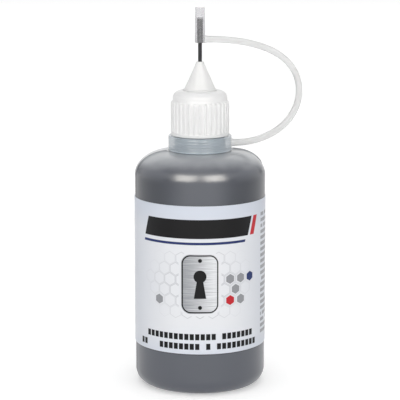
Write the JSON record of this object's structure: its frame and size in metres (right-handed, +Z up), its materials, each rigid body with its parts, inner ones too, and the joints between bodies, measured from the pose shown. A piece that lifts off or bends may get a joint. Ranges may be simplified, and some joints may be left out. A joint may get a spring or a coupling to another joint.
{
  "type": "needle-tip powder bottle",
  "caption": "Round squeeze bottle of graphite powder with a ribbed screw cap, a cone nozzle with a steel needle, and a needle cover tethered to a ring round the neck by a strap.",
  "frame": {"origin": "on the bottle's axis, in the plane of the ring under the base that it stands on", "axes": "+Z up along the bottle's axis, towards the needle; +X towards the strap's loop; the label's front faces -Y"},
  "size_m": [0.0462, 0.0362, 0.105],
  "materials": {
    "bottle_plastic": "satin",
    "label_film": "satin",
    "graphite": "matte",
    "nozzle_plastic": "satin",
    "needle_steel": "satin",
    "cap_plastic": "satin",
    "tether_plastic": "satin",
    "cover_plastic": "gloss"
  },
  "bodies": {
    "bottle": {"bottle": "bottle_plastic", "label": "label_film", "graphite_powder": "graphite"},
    "nozzle": {"nozzle": "nozzle_plastic", "needle": "needle_steel"},
    "screw_cap": {"screw_cap": "cap_plastic"},
    "tether": {"tether_ring": "tether_plastic", "tether_strap": "tether_plastic"},
    "needle_cover": {"needle_cover": "cover_plastic"}
  },
  "joints": [
    {"name": "cap_lift", "type": "slide", "parent": "bottle", "child": "nozzle", "axis": [0, 0, 1], "range_m": [0, 0.0045]},
    {"name": "cap_turn", "type": "hinge", "parent": "nozzle", "child": "screw_cap", "pos_m": [0, 0, 0.076], "axis": [0, 0, 1], "range_deg": [0, 540]},
    {"name": "tether_swivel", "type": "hinge", "parent": "nozzle", "child": "tether", "pos_m": [0, 0, 0.06767], "axis": [0, 0, 1], "continuous": true},
    {"name": "cover_pull", "type": "slide", "parent": "tether", "child": "needle_cover", "axis": [0, 0, 1], "range_m": [0, 0.008], "deforming": ["tether_strap"]}
  ],
  "couplings": [
    {"joint": "cap_turn", "follows": "cap_lift", "rad_per_m": 2094.4}
  ]
}
